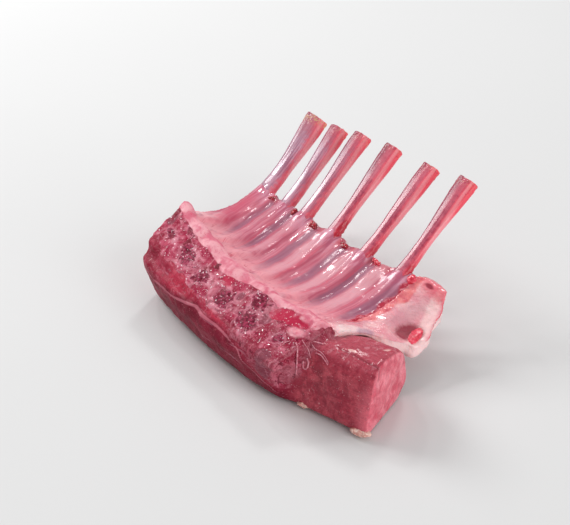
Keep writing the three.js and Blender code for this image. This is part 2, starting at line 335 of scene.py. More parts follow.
class Finish:
    """A material, made node by node."""

    def __init__(self, name, **constants):
        self.material = bpy.data.materials.new(name)
        self.material.use_nodes = True
        self.tree = self.material.node_tree
        self.shader = self.tree.nodes["Principled BSDF"]
        for key, value in constants.items():
            self.feed(self.shader.inputs[key.replace("_", " ")], value)
        self.position = self.node("TexCoord", output="Object")
        self.colour = None

    def feed(self, socket, value):
        """Links a Value to a socket, or sets a constant on it."""
        if isinstance(value, Value):
            self.tree.links.new(value.socket, socket)
        else:
            socket.default_value = value

    def node(self, kind, settings=None, inputs=None, output=0):
        """Adds a node. Its settings are set first and then its inputs."""
        node = self.tree.nodes.new("ShaderNode" + kind)
        for key, value in (settings or {}).items():
            setattr(node, key, value)
        for key, value in (inputs or {}).items():
            self.feed(node.inputs[key], value)
        return Value(self, node.outputs[output])

    def math(self, operation, first, second):
        """One Math node."""
        return self.node("Math", {"operation": operation}, {0: first, 1: second})

    def marked(self, name):
        """The values that `mark` stored."""
        return self.node("Attribute", {"attribute_name": name}, output="Fac")

    def flow(self, across, lengthwise):
        """Noise that is stretched along the piece, with streaks of this size in mm."""
        stored = self.node("Attribute", {"attribute_name": "flow"}, output="Vector")
        scale = (1 / across, 1 / lengthwise, 1 / across)
        stretched = self.node("VectorMath", {"operation": "MULTIPLY"}, {0: stored, 1: scale})
        inputs = {"Vector": stretched, "Scale": 1.0, "Detail": NOISE_DETAIL}
        return self.node("TexNoise", None, inputs)

    def noise(self, size, distortion=0.0):
        """Noise on the piece's own coordinates, with blotches of this size in mm."""
        return self.node("TexNoise", None, {
            "Vector": self.position,
            "Scale": 1 / (size * MM),
            "Detail": NOISE_DETAIL,
            "Distortion": distortion,
        })

    def ragged(self, name, noise, amount, start, end):
        """A marked patch whose edge is broken up by this much noise."""
        return (self.marked(name) + (noise - 0.5) * amount).between(start, end)

    def mix(self, share, first, second):
        """A blend of two colours."""
        return self.node("Mix", {"data_type": "RGBA"}, {0: share, 6: first, 7: second}, output=2)

    def paint(self, share, colour):
        """Lays a colour over what is painted so far."""
        self.colour = self.mix(share, self.colour, colour)

    def surface(self, roughness, relief, depth):
        """Connects the colour, the roughness and the fine relief, its depth in mm."""
        bump = self.node("Bump", None, {
            "Height": relief, "Strength": 1.0, "Distance": depth * MM,
        }, output="Normal")
        self.feed(self.shader.inputs["Base Color"], self.colour)
        self.feed(self.shader.inputs["Roughness"], roughness)
        self.feed(self.shader.inputs["Normal"], bump)


print("a finish can:", ", ".join(name for name in vars(Finish) if not name.startswith("_")))

# %% [markdown]
# Wet meat has a soft body under a thin clear film. The film is the coat, and some light
# spreads a little way into the flesh, further in red than in blue. These values are the
# same all over a piece, so they are set straight on the shader's sockets.

# %% How wet meat shines
# The radius is how far light of each colour spreads, in metres.
WET = {
    "Coat_Weight": 0.5,
    "Coat_Roughness": 0.12,
    "Specular_IOR_Level": 0.2,
    "Subsurface_Weight": 0.1,
    "Subsurface_Radius": (0.003, 0.001, 0.0008),
    "Subsurface_Scale": 1.0,
}
print("light spreads", WET["Subsurface_Radius"][0] / MM, "mm in red")

# %% [markdown]
# ## Cleaned rib bones
#
# A cleaned rib keeps a thin lilac skin on its inner side, which is wet and streaked. A white
# sheen is painted along the middle of that skin as a highlight, and the other edge is painted
# darker as shade. The edge that faces the loin was scraped and shows coral red. The sawn tip
# flares and is mottled, with a dry yellowish rim on the first rib. Each bone is a remeshed
# copy of its solid. Plain noise would make round blotches on it, so the streaks read
# coordinates that run across and along the bone, and that change with the way that the
# surface faces.

# %% The finish of a bone
LILAC = srgb(204, 160, 180)
DUSKY = srgb(156, 96, 122)
SHADE_PLUM = srgb(120, 46, 74)
ROSE = srgb(208, 106, 126)
WINE = srgb(162, 54, 82)
CORAL = srgb(246, 78, 96)
PALE_PINK = srgb(255, 172, 180)
PAINTED_SHEEN = srgb(240, 226, 238)


def bone_finish():
    """Lilac skin with a painted white sheen, coral along one edge, painted shade along the other,
    and a mottled tip.
    """
    finish = Finish("bone", **WET)
    streaks = finish.flow(1.6, 20)
    blotches = finish.noise(3.0, distortion=0.6)
    specks = finish.noise(1.2)
    tip = finish.marked("tip")
    skin = finish.mix(streaks.between(0.3, 0.7), DUSKY, LILAC)
    rosy = finish.mix((streaks * 0.6 + blotches * 0.4).between(0.36, 0.62), WINE, ROSE)
    share = finish.ragged("rosy", blotches, 0.4, 0.1, 0.9)
    finish.colour = finish.mix(share, skin, rosy)
    mottled = finish.mix(share, srgb(176, 98, 116), srgb(204, 84, 106))
    finish.paint(finish.ragged("tip", blotches, 0.8, 0.25, 0.9) * 0.7, mottled)
    # Painted shade: the other edge of each bone is darkened with plum.
    finish.paint(finish.ragged("dusk", blotches, 0.4, 0.0, 1.0) * 0.7, SHADE_PLUM)
    finish.paint(finish.ragged("edge", blotches, 0.7, 0.1, 1.1) * 0.9, CORAL)
    finish.paint(finish.ragged("rim", streaks, 0.4, 0.3, 1.0) * 0.6, PALE_PINK)
    both = streaks * 0.5 + blotches * 0.5
    # Painted highlight: a white sheen along the middle of the inner face.
    finish.paint(finish.ragged("sheen", both, 1.0, 0.35, 0.9) * 0.8, PAINTED_SHEEN)
    finish.paint(specks.between(0.6, 0.7) * (tip * 0.4 + 0.1), srgb(168, 40, 66))
    finish.paint(finish.marked("meat").between(0.3, 0.6) * 0.9, srgb(186, 20, 48))
    dry = finish.marked("dry") * finish.noise(1.4).between(0.45, 0.6)
    finish.paint(dry, srgb(206, 166, 120))
    finish.feed(finish.shader.inputs["Coat Weight"], 0.65 - tip * 0.45)
    finish.surface(0.34 + tip * 0.16, both, 0.2)
    return finish.material


bone_material = bone_finish()
print("bone finish:", len(bone_material.node_tree.nodes), "nodes")

# %% The six bones
TIP_OUT = 142  # where the sawn tips lie, in mm out from the ridge
PAINTED_SHEEN_OUT = 98  # where the painted white sheen is brightest
FOOT_OUT = 88  # where each bone leaves the wall, with a little meat left on its edge
ROSY = (0.1, 0.25, 0.4, 0.75, 0.85, 0.85)  # how much pinker each bone is than plain lilac
PAINTED_SHEENS = (0.8, 1.1, 0.8, 0.45, 0.2, 0.4)  # how much of a painted white sheen each has
EDGE_SHADES = (0.5, 0.5, 0.8, 1.0, 0.7, 0.8)  # how much painted shade darkens each along the other edge
REMNANTS = (0.35, 0.45, 0.45, 1.0, 0.6, 0.6)  # how much meat is left beside its foot


def bone(number):
    """One cleaned rib, from the backbone to its sawn tip."""
    node = f"rib_{number + 1}"
    piece = welded_copy(f"bone_{number + 1}", node)
    remesh(piece, 0.6, 3)
    points = points_of(piece)
    lean = math.radians(RIB_LEAN[number])
    start = np.array(place(RIB_ALONG[number], 0))
    offset = points - start
    across = offset[:, 0] * math.cos(lean) - offset[:, 1] * math.sin(lean)
    out = offset[:, 0] * math.sin(lean) + offset[:, 1] * math.cos(lean)
    inner = normals_of(piece)[:, 2]
    flow = np.stack([across, out, 3 * inner], axis=1)
    half = RIB_WIDTH[number] / 2
    near_tip = ramp(out, TIP_OUT - 14, TIP_OUT - 1)
    end_face = ramp(out, TIP_OUT - 2.5, TIP_OUT)
    side = across / half
    meat = bump_at(side, 1.0, 0.5) * bump_at(out, FOOT_OUT, 9) * REMNANTS[number]
    relief = 0.12 * soft_noise(flow, (2.5, 26, 4), 10 + number)
    relief += 0.25 * soft_noise(flow, (9, 16, 9), 20 + number)
    relief += near_tip * 0.12 * rough_noise(points, 3.6, 30 + number)
    relief += end_face * 0.45 * rough_noise(points, 2.0, 40 + number)
    relief += meat * (0.9 + 0.9 * rough_noise(points, 2.4, 48))
    push(piece, 0.1 + relief)
    mark_flow(piece, flow)
    mark(piece, "edge", ramp(side, 0.0, 1.2) + 0.3 * ramp(-inner, 0.0, 0.7))
    # The painted white sheen lies near the middle of the inner face, where that face turns up.
    sheen = bump_at(side, -0.35, 0.4) * bump_at(out, PAINTED_SHEEN_OUT, 16) * ramp(inner, 0.2, 0.8)
    mark(piece, "sheen", sheen * PAINTED_SHEENS[number])
    # Painted shade along the other edge.
    mark(piece, "dusk", bump_at(side, -1.0, 0.7) * EDGE_SHADES[number])
    mark(piece, "rosy", ROSY[number] + 0.2 * ramp(side, -0.6, 0.6) + 0.3 * near_tip)
    mark(piece, "rim", bump_at(side, 1.0, 0.3) * ramp(out, FOOT_OUT, FOOT_OUT + 20))
    mark(piece, "tip", ramp(out, TIP_OUT - 28, TIP_OUT))
    mark(piece, "meat", meat)
    mark(piece, "dry", bump_at(out, TIP_OUT, 3) * (0.9 if number == 0 else 0.2))
    finished(piece, [node], bone_material)


for number in range(6):
    bone(number)

# %% [markdown]
# ## The wall of the rib cage
#
# Inside the rib cage a clear, wet skin covers bone and meat alike, so the ribs show only as
# soft ridges. The wall is therefore one mesh over the meat, the covered part of each rib
# and the first strip of the flap. Between two ribs the skin sinks in, and the muscle below
# it shows as a purple-grey stripe. The stripes bend as they near the backbone, so each is
# given by five places. All other streaks are laid out between one stripe and the next. The
# skin is wettest near the bare bones, and it ends on the flap in a torn red fringe.

# %% One skin over meat, bone and flap
COVERED_OUT = 89  # how far out the skin covers each rib
FRINGE_ALONG = 41.5  # where the skin ends on the flap, in a torn fringe


def cut_off(piece, point, facing):
    """Cuts the piece with a plane, closes the cut, and drops what lies beyond."""
    use_only(piece)
    bpy.ops.object.mode_set(mode="EDIT")
    bpy.ops.mesh.select_all(action="SELECT")
    bpy.ops.mesh.bisect(plane_co=point * MM, plane_no=facing, use_fill=True, clear_outer=True)
    bpy.ops.object.mode_set(mode="OBJECT")


def covered_rib(number):
    """The part of a rib that lies under the skin, for the wall to be remeshed over."""
    piece = welded_copy("covered", f"rib_{number + 1}")
    lean = math.radians(RIB_LEAN[number])
    cut_off(piece, place(RIB_ALONG[number], COVERED_OUT), (math.sin(lean), math.cos(lean), 0))
    push(piece, 0.35)
    return piece


def skin_over_flap():
    """The strip of the flap beside the last rib, which the skin covers too."""
    piece = welded_copy("strip", "fat_flap")
    cut_off(piece, place(FRINGE_ALONG, 40), (1, 0, 0))
    push(piece, 0.3)
    return piece


def join_to(piece, parts):
    """Joins the parts to the piece, as one mesh."""
    use_only(piece)
    for part in parts:
        part.select_set(True)
    bpy.ops.object.join()


rib_wall = welded_copy("rib_wall", "rib_meat")
join_to(rib_wall, [covered_rib(number) for number in range(6)] + [skin_over_flap()])
remesh(rib_wall, 0.8, 6)
print("the wall under its skin:", len(rib_wall.data.vertices), "vertices")

# %% The stripes between the ribs
# Where each sunken stripe lies along the backbone, at these distances out, in mm.
STRIPE_OUT = (0, 20, 40, 60, 85)
STRIPES = (
    (-102, -110, -118, -122, -120),
    (-68, -82, -91.5, -95.4, -92),
    (-57, -66, -71, -73.7, -72),
    (-28.5, -41.5, -48.2, -49.5, -45.7),
    (-8, -17, -19.1, -18.6, -16.5),
    (18.5, 10.5, 7.1, 6.6, 8.5),
    (48, 40, 37, 37.5, 39),
    (74, 66, 63, 63, 65),
)
PALENESS = (0.1, 0.35, 0.45, 1.0, 1.0, 1.1, 0)  # of the band after each stripe
PALE_SHARE = 0.36  # how far that band lies from one stripe to the next
STRIPE_GAP = 26  # about how far apart the stripes are, in mm


def stripe_count(along, out):
    """How many stripes a point has passed. The fraction is its place before the next one."""
    lines = np.array([np.interp(out, STRIPE_OUT, line) for line in STRIPES])
    passed = np.clip((along > lines).sum(axis=0) - 1, 0, len(STRIPES) - 2)
    last = np.take_along_axis(lines, passed[None], 0)[0]
    following = np.take_along_axis(lines, passed[None] + 1, 0)[0]
    return passed + np.clip((along - last) / (following - last), 0, 1)


middle_count = float(stripe_count(np.array([0.0]), np.array([40.0]))[0])
print("stripes passed at the middle of the wall:", round(middle_count, 2))

# %% The shape of the wall
# Each wrinkled patch: its place along and out, and its two half widths, in mm.
WRINKLES = (((8, 76), (9, 10)), ((27, 80), (7, 10)))


def shape_wall(piece):
    """Sinks the stripes in, adds fine creases, and tears the wall's edges."""
    points = points_of(piece)
    along, out = along_and_out(points)
    count = stripe_count(along, out)
    flow = np.stack([count * STRIPE_GAP, out, 0.3 * points[:, 2]], axis=1)
    inner = ramp(normals_of(piece)[:, 2], -0.1, 0.4)
    streak = soft_noise(flow * (1, 1, 0), (2.6, 46, 10), 54)
    band = count + 0.05 * soft_noise(flow * (1, 1, 0), (26, 22, 40), 55)
    share = band - np.floor(band)
    from_stripe = np.minimum(share, 1 - share)
    ribs = zip(RIB_ALONG, RIB_WIDTH)
    from_bone = np.min([abs(along - middle) / width for middle, width in ribs], axis=0)
    on_bone = 1 - ramp(from_bone, 0.5, 0.75)
    torn_line = FRINGE_ALONG + 1.6 * soft_noise(points, 6, 58)
    fringe = bump_at(along, torn_line, 2.6) * inner * ramp(out, 8, 20)
    relief = -0.9 * bump_at(from_stripe, 0, 0.13) * inner * ramp(out, 14, 36) * (1 - on_bone)
    relief += 0.16 * soft_noise(flow, (1.8, 40, 30), 50) * inner
    relief += 0.3 * soft_noise(flow, (3.4, 12, 8), 51) * inner * (1 - ramp(out, 18, 36))
    relief += 0.35 * soft_noise(points, 11, 52)
    wrinkled = sum(spot(along, out, *patch) for patch in WRINKLES)
    relief += 0.8 * soft_noise(flow, (5, 7, 9), 56) * wrinkled * inner
    relief += 0.7 * rough_noise(points, 3.4, 53) * ramp(out, 76, 81) * (1 - on_bone)
    relief -= 0.95 * ramp(out, 80, COVERED_OUT - 1) * on_bone
    relief += fringe * (0.9 * rough_noise(points, 4, 57) + 0.3)
    push(piece, 0.25 + relief)
    mark_flow(piece, flow)
    mark(piece, "grey", bump_at(from_stripe, 0, 0.17) * ramp(out, 4, 30) * (0.9 + 0.2 * streak))
    paleness = np.interp(count, np.arange(len(PALENESS)) + PALE_SHARE, PALENESS)
    mark(piece, "pale", bump_at(share, PALE_SHARE, 0.17) * paleness)
    red = bump_at(share, 0.6, 0.05) + bump_at(share, 0.83, 0.05) + 0.6 * bump_at(share, 0.2, 0.03)
    mark(piece, "red", red * ramp(streak, -0.5, 0.3))
    mark(piece, "far", (1 - ramp(along, -116, -88)) * ramp(out, 6, 20) * (0.8 + 0.4 * streak))
    mark(piece, "root", 1 - ramp(out, 14, 44))
    mark(piece, "wet", ramp(out, 48, 74))
    mark(piece, "outside", 1 - inner)
    mark(piece, "ragged", ramp(out, 79, 83) * (1 - on_bone))
    mark(piece, "sleeve", ramp(out, 66, 84) * on_bone)
    mark(piece, "fringe", fringe)


shape_wall(rib_wall)
print("the wall reaches up to", points_of(rib_wall)[:, 2].max().round(1), "mm")

# %% The finish of the wall


def wall_finish():
    """Pink, purple-grey and pale bands with red streaks, under a clear wet skin."""
    finish = Finish("rib_wall", **WET)
    streaks = finish.flow(2.2, 50)
    lines = finish.flow(0.9, 30)
    clouds = finish.noise(9.0, distortion=0.5)
    finish.colour = finish.mix(streaks.between(0.35, 0.65), srgb(188, 86, 110), srgb(208, 122, 140))
    finish.paint(finish.ragged("pale", clouds, 0.5, 0.1, 0.75) * 0.9, srgb(222, 156, 168))
    grey = finish.mix(streaks, srgb(138, 72, 100), srgb(166, 106, 128))
    finish.paint(finish.ragged("grey", streaks, 0.5, 0.2, 0.75) * 0.9, grey)
    finish.paint(finish.ragged("red", streaks, 0.7, 0.3, 0.9) * 0.35, srgb(212, 56, 88))
    finish.paint(finish.marked("far") * 0.75, srgb(202, 54, 92))
    root = finish.marked("root")
    finish.paint(root * clouds.between(0.2, 0.55) * 0.85, srgb(244, 164, 174))
    finish.paint(finish.flow(2.6, 16).between(0.6, 0.68) * root * 0.6, srgb(208, 70, 94))
    finish.paint(lines.between(0.56, 0.7) * 0.35, srgb(196, 64, 92))
    outside = finish.mix(finish.noise(9).between(0.4, 0.6), srgb(150, 52, 68), srgb(226, 168, 168))
    finish.paint(finish.marked("outside"), outside)
    finish.paint(finish.marked("ragged") * 0.5, srgb(190, 40, 62))
    sleeve = finish.mix(streaks.between(0.4, 0.6), srgb(190, 92, 122), srgb(222, 156, 178))
    finish.paint(finish.marked("sleeve") * 0.8, sleeve)
    shreds = finish.noise(3.0, distortion=1.0).between(0.48, 0.66)
    shredded = finish.mix(shreds, srgb(184, 36, 64), srgb(228, 138, 150))
    finish.paint(finish.marked("fringe").between(0.3, 0.8), shredded)
    finish.feed(finish.shader.inputs["Coat Weight"], 0.3 + finish.marked("wet") * 0.6)
    finish.surface(0.3 + clouds * 0.14, streaks * 0.6 + lines * 0.25 + clouds * 0.3, 0.3)
    return finish.material


finished(rib_wall, ["rib_meat"], wall_finish())

# %% [markdown]
# ## The sawn backbone
#
# A saw went through the middle of each vertebra, so this face shows spongy bone: dark red
# pockets with pale rims, in a ground of meat and pale film. Tiny white glints are painted on
# it as highlights, under a wet coat on the same spots. A smooth ridge of fat runs along the
# side where the ribs join. Patches are given one by one, because their places are what make
# the pattern recognisable. At the back the face dips, so that it disappears under the muscle
# as grown-together tissue does.

# %% The patches of the sawn face
# Each spongy patch: its place along and out, and its two half widths, in mm.
SPONGY = (
    ((-100.4, -20.0), (6.5, 3.5)), ((-86.5, -7.0), (4.5, 4)), ((-73.5, -18), (10, 7)),
    ((-48.7, -20.5), (9, 6)), ((-20, -20.5), (9.5, 7)), ((4.5, -8.5), (8, 5)),
    ((9, -23), (9.5, 7.5)), ((38.5, -23.5), (4.5, 4)),
)
BRIGHT = (((-28.5, -10.5), (6, 4.5)), ((33.5, -7.5), (14, 6)), ((22, -10), (6, 3)))
GREY_BONE = (((-11, -13), (4, 4)), ((18, -15.5), (4.5, 6)), ((40, -36.5), (9, 3.5)),
             ((-110, -13), (5, 7)))
FAT_CLUMPS = (((43.5, -15), (8, 4)), ((51, -3), (6, 6)), ((40, -4), (5, 2.5)))
KNOB = ((54, -2), (6, 7))  # the end of the ridge of fat

# Where the ridge of fat starts, and where the sawn face meets the loin behind it.
FAT_EDGE_ALONG = (-115, -91, -53, -39, -30, -12, 17, 60)
FAT_EDGE_OUT = (-5, -6.5, -7.3, -9.5, -9, -4.6, -4.5, -3)
BACK_EDGE_ALONG = (-114, -100, -80, -60, -40, -20, 0, 20, 40, 56)
BACK_EDGE_OUT = (-36, -35, -33.5, -33, -32, -32.5, -34, -36.5, -39.5, -41.5)


def patches(along, out, listed):
    """All the listed patches together."""
    return np.clip(sum(spot(along, out, *patch) for patch in listed), 0, 1)


def mark_tissue(piece, along, out, up):
    """Marks the patches that run on from the backbone into the meat beside it."""
    mark(piece, "spongy", patches(along, out, SPONGY) * up)
    mark(piece, "bright", patches(along, out, BRIGHT) * up)
    mark(piece, "grey", patches(along, out, GREY_BONE) * up)
    mark(piece, "meaty", ramp(along - 0.8 * out, -30, 50))


print(len(SPONGY), "spongy,", len(BRIGHT), "bright and", len(GREY_BONE), "grey patches")

# %% The shape of the backbone


def sawn_backbone():
    """The backbone, with its spongy patches sunk in and its ridge of fat left proud."""
    piece = welded_copy("sawn_backbone", "backbone")
    remesh(piece, 0.6, 4)
    points = points_of(piece)
    along, out = along_and_out(points)
    facing = normals_of(piece)[:, 2]
    up = ramp(facing, 0.1, 0.6)
    spongy = patches(along, out, SPONGY)
    clumps = patches(along, out, FAT_CLUMPS)
    edge = np.interp(along, FAT_EDGE_ALONG, FAT_EDGE_OUT) + 1.4 * soft_noise(points, 5, 60)
    ridge = ramp(out - edge, -0.8, 1.6)
    spongy = spongy * (1 - ridge)
    pits = ramp(rough_noise(points, 3.2, 61), -0.1, 0.3)
    relief = 0.5 * soft_noise(points, 9, 62) + 0.16 * rough_noise(points, 3.4, 63)
    relief *= 1 - 0.9 * ridge
    relief -= (0.8 * pits * spongy + 0.5 * patches(along, out, GREY_BONE)) * up
    relief += ridge * (0.3 * soft_noise(points, 16, 64) + 0.25)
    relief += 0.9 * clumps * up * (1 + rough_noise(points, 4, 66))
    relief -= 3.0 * (1 - up) * ramp(-out, 12, 20)
    back_edge = np.interp(along, BACK_EDGE_ALONG, BACK_EDGE_OUT) + 2.5 * soft_noise(points, 7, 67)
    relief -= 1.7 * ramp(back_edge + 5 - out, 0, 4.5)
    ending = ramp(along, 48, 56)
    relief -= ending * (1.6 + 0.7 * rough_noise(points, 5, 65))
    push(piece, 0.15 + relief)
    mark_tissue(piece, along, out, up)
    mark(piece, "pit", pits * spongy * up)
    mark(piece, "fat", np.max([ridge, clumps, spot(along, out, *KNOB)], axis=0))
    return piece


backbone = sawn_backbone()
print("the sawn backbone:", len(backbone.data.vertices), "vertices")

# %% The finish of the backbone


def tissue(finish):
    """The colour of spongy bone, and of the film-covered meat beside it."""
    clouds = finish.noise(9.0, distortion=1.0)
    grain = finish.noise(3.6, distortion=0.8)
    fine = finish.noise(1.8)
    meaty = finish.marked("meaty")
    colour = finish.mix(clouds.between(0.36, 0.64), srgb(162, 36, 68), srgb(194, 84, 108))
    meat = (meaty * 0.2 + finish.noise(11, distortion=1.5)).between(0.54, 0.66)
    colour = finish.mix(meat * 0.8, colour, srgb(142, 28, 54))
    film = finish.noise(12.0, distortion=1.0).between(0.46, 0.62) * (1 - meaty * 0.6)
    colour = finish.mix(film * 0.55, colour, srgb(234, 162, 176))
    fibres = finish.noise(3.0, distortion=3.0).between(0.56, 0.66) * (0.15 + meaty * 0.4)
    colour = finish.mix(fibres, colour, srgb(212, 132, 150))
    holes = (1 - grain.between(0.34, 0.42)) * (meaty * 0.5 + 0.3)
    colour = finish.mix(holes, colour, srgb(104, 10, 38))
    grey = finish.ragged("grey", grain, 0.5, 0.42, 0.58)
    colour = finish.mix(grey * 0.8, colour, srgb(136, 66, 82))
    bright = finish.ragged("bright", clouds, 0.9, 0.38, 0.55)
    colour = finish.mix(bright * 0.85, colour, srgb(188, 38, 72))
    pocket = finish.marked("spongy") + (clouds - 0.5) * 1.5 + (grain - 0.5) * 0.6
    colour = finish.mix(pocket.between(0.14, 0.38) * 0.4, colour, srgb(226, 150, 168))
    spongy = finish.mix(fine.between(0.4, 0.62), srgb(98, 6, 36), srgb(164, 48, 82))
    return finish.mix(pocket.between(0.42, 0.6) * 0.9, colour, spongy)


def backbone_finish():
    """Spongy bone and meat with a ridge of pale fat, and tiny white glints painted on as highlights.
    """
    finish = Finish("sawn_backbone", **{**WET, "Coat_Roughness": 0.1, "Specular_IOR_Level": 0.05})
    finish.colour = tissue(finish)
    finish.paint(finish.marked("pit") * 0.45, srgb(104, 6, 32))
    fat = finish.marked("fat").between(0.3, 0.8)
    soft = finish.noise(8.0, distortion=0.4).between(0.35, 0.65)
    finish.paint(fat, finish.mix(soft, srgb(216, 110, 132), srgb(238, 170, 180)))
    vessels = finish.noise(3.0, distortion=2.0).between(0.6, 0.7) * fat
    finish.paint(vessels * 0.5, srgb(210, 56, 84))
    # Painted highlight: tiny white glints in the colour, with a wet coat on the same spots.
    glints = finish.noise(1.4).between(0.63, 0.68) * (1 - fat)
    finish.paint(glints * 0.8, srgb(255, 232, 240))
    finish.feed(finish.shader.inputs["Coat Weight"], fat * 0.08 + glints * 0.9)
    finish.surface(0.5, finish.noise(2.4, distortion=0.8) * (1 - fat * 0.8), 0.35)
    return finish.material


finished(backbone, ["backbone"], backbone_finish())

# %% [markdown]
# ## The eye of the loin
#
# The loin is one long muscle. Its cut end is fine-grained and pinker than the dark moist
# sides. Along its back a line of fat parts the bright meat under the backbone from the dark
# side below, which has thin silver streaks.
#
# The muscle and the backbone grew together, so a gap between them would look wrong. The
# loin is remeshed over a slightly shrunk copy of the backbone. Then the whole mesh is
# pushed out, remeshed and pushed back in, and that fills the crease between the two.

# %% The loin and the backbone grown together
JOIN_DEPTH = 3.0  # how far the mesh is pushed out and back in, in mm

loin = welded_copy("loin", "loin_eye")
spine = welded_copy("spine", "backbone")
push(spine, -0.6)
join_to(loin, [spine])
remesh(loin, 1.0, 3)
push(loin, JOIN_DEPTH)
remesh(loin, 1.0, 3)
push(loin, -JOIN_DEPTH)
remesh(loin, 0.9, 14)
print("the loin:", len(loin.data.vertices), "vertices")

# %% The shape of the loin
LOIN_CUT = (91.2, 24.8)  # a place on the plane of the cut end, in x and y from the ridge
CUT_ANGLE = math.radians(22.0)  # the way that the cut end faces
# The line of fat: its height at these places along the backbone, in mm.
FAT_LINE_ALONG = (-115, -88, -70, -53, -35, -21, -9, 5, 16, 25, 33, 45)
FAT_LINE_HEIGHT = (28, 27, 27.6, 29.3, 31, 31, 30.8, 30.1, 26.2, 20.7, 14.9, 8)
# Bright patches above that line: place along and height, and two half widths.
BRIGHT_SIDE = (((-62, 36), (19, 5)), ((-14, 34), (12, 3)))
BROAD_FLECK, THIN_FLECK = ((78.5, -5.5), (3.2, 1.2)), ((85, 13), (1.2, 4))


def towards_cut(x, y):
    """How far a vector in x and y points out of the cut end."""
    return x * math.cos(CUT_ANGLE) + y * math.sin(CUT_ANGLE)


def soften(piece, weights, rounds):
    """Smooths the mesh further where the weights are high."""
    group = piece.vertex_groups.new(name="soft")
    for index in np.flatnonzero(weights > 0.02):
        group.add([int(index)], float(weights[index]), "REPLACE")
    apply_modifier(piece, "SMOOTH", factor=0.5, iterations=rounds, vertex_group="soft")
    piece.vertex_groups.clear()


def beyond_cut(points):
    """Distance of points beyond the plane of the loin's cut end, in mm."""
    start = np.array(RIDGE_MIDDLE) + LOIN_CUT
    return towards_cut(points[:, 0] - start[0], points[:, 1] - start[1])


def shape_loin(piece):
    """Rounds the corner of the cut end, and marks the line of fat and what lies beside it."""
    points = points_of(piece)
    along, out = along_and_out(points)
    corner = ramp(beyond_cut(points), -9, -3) * ramp(-out, 12, 19) * ramp(points[:, 2], 2, 8)
    soften(piece, corner, 90)
    points = points_of(piece)
    facing = normals_of(piece)
    table = ramp(points[:, 2], 1.0, 5.0)
    end = ramp(towards_cut(facing[:, 0], facing[:, 1]), 0.55, 0.85) * ramp(along, 66, 74)
    line = np.interp(along, FAT_LINE_ALONG, FAT_LINE_HEIGHT)
    above = points[:, 2] - line - 1.5 * soft_noise(points, 12, 72)
    back = ramp(-out, 22, 28) * (1 - ramp(along, 40, 52))
    seam = bump_at(above, 0, 0.7 + 0.4 * soft_noise(points, 7, 74)) * back
    joined = 1 - ramp(along - 0.35 * (points[:, 2] - 40), 56, 68 + 4 * soft_noise(points, 6, 73))
    joined = joined * ramp(above, 2, 6)
    relief = 0.9 * rough_noise(points, 11, 70) + 0.22 * rough_noise(points, 2.6, 71)
    relief += 0.2 * seam
    crease = bump_at(out, -7.5 - 0.05 * (along - 70), 0.7)
    crease *= ramp(along, 66, 72) * ramp(points[:, 2], 30, 36)
    relief -= 0.5 * crease
    push(piece, (0.25 + relief) * table)
    mark_flow(piece, np.stack([out, along, points[:, 2]], axis=1))
    mark_tissue(piece, along, out, 1)
    mark(piece, "joined", joined * (0.25 + 0.75 * ramp(along, -40, 10)))
    mark(piece, "end", end)
    # Painted highlight: the side is marked to be painted lighter pink towards the corner of the cut
    # end.
    mark(piece, "edge", ramp(beyond_cut(points), -15, -1) * ramp(-out, 10, 22) * (1 - end))
    mark(piece, "upper", ramp(above, 0.5, 3) * back)
    mark(piece, "patch", patches(along, points[:, 2], BRIGHT_SIDE))
    mark(piece, "seam", seam)
    mark(piece, "crease", crease)
    fleck = spot(along, out, *BROAD_FLECK) + 0.7 * spot(along, out, *THIN_FLECK)
    mark(piece, "fleck", fleck * ramp(facing[:, 2], 0.3, 0.7))
    mark(piece, "top", ramp(facing[:, 2], 0.45, 0.85) * ramp(along, 55, 66) * (1 - end))
    mark(piece, "bare", ramp(along, 48, 60))


shape_loin(loin)
print("the loin reaches up to", points_of(loin)[:, 2].max().round(1), "mm")

# %% The finish of the loin


